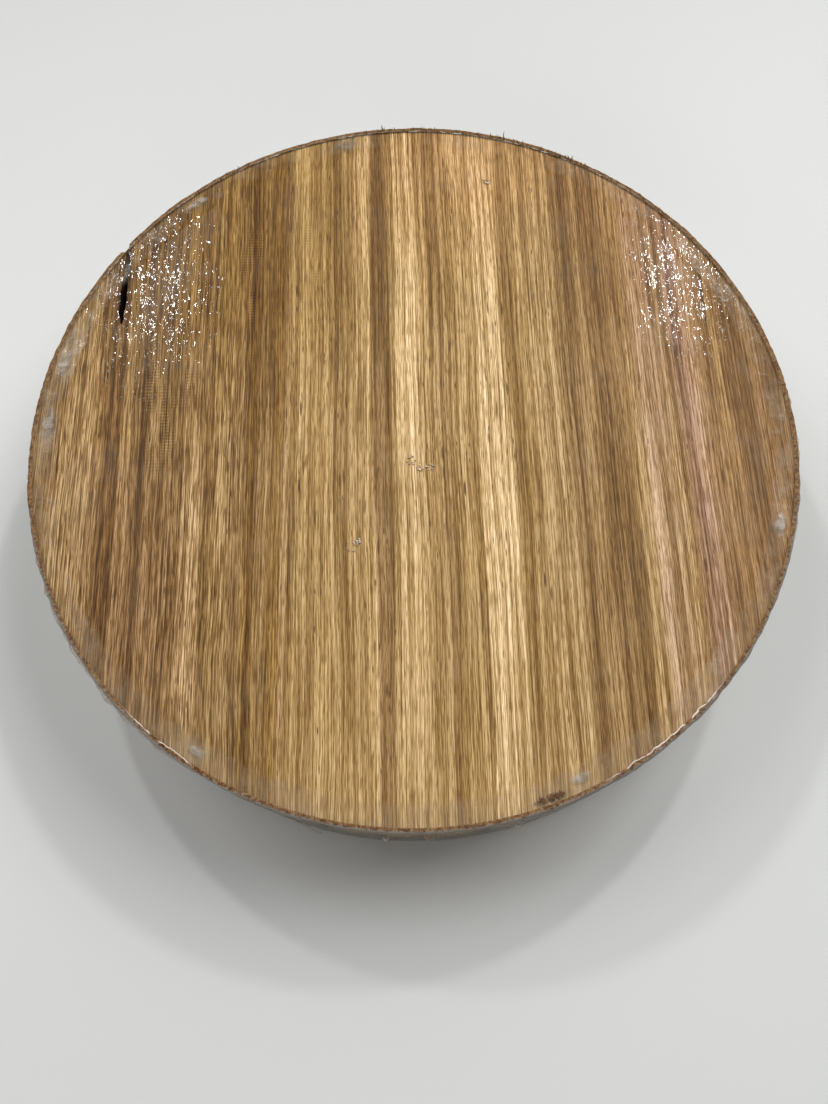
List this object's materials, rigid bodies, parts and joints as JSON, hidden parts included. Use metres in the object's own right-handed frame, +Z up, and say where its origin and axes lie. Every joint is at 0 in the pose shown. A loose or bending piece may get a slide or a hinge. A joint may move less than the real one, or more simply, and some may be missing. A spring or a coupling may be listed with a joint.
{
  "type": "wax-sealed wood turning blank",
  "caption": "Round bandsawn hardwood blank for turning or carving a bowl or platter, sealed in clear wax with a milky coat round its rim.",
  "frame": {"origin": "centre of the flat underside, which the blank lies on", "axes": "+Z up, out of the upper face; +Y along the grain, away from the viewer in the picture; +X to the right"},
  "size_m": [0.2581, 0.2591, 0.056],
  "materials": {
    "timber": "straight ribbon-striped hardwood, sawn, under wax",
    "torn_fibre": "dry torn fibres and sawdust",
    "bark": "dark, rough",
    "clear_wax": "clear glossy wax film",
    "milky_wax": "thicker milky wax, satin gloss",
    "white_wax": "opaque crumbs and puddles of wax"
  },
  "bodies": {
    "root": {"timber_disc": "timber", "top_wax_film": "clear_wax", "bottom_wax_film": "clear_wax", "rim_wax_band": "milky_wax", "wax_runs": "milky_wax", "wax_brim": "milky_wax", "wax_nub": "milky_wax", "wax_curl": "milky_wax", "wax_pools": "white_wax", "wax_crumbs": "white_wax", "bark_fleck": "bark", "saw_splinters": "torn_fibre", "sawdust_grains": "torn_fibre"}
  },
  "joints": []
}
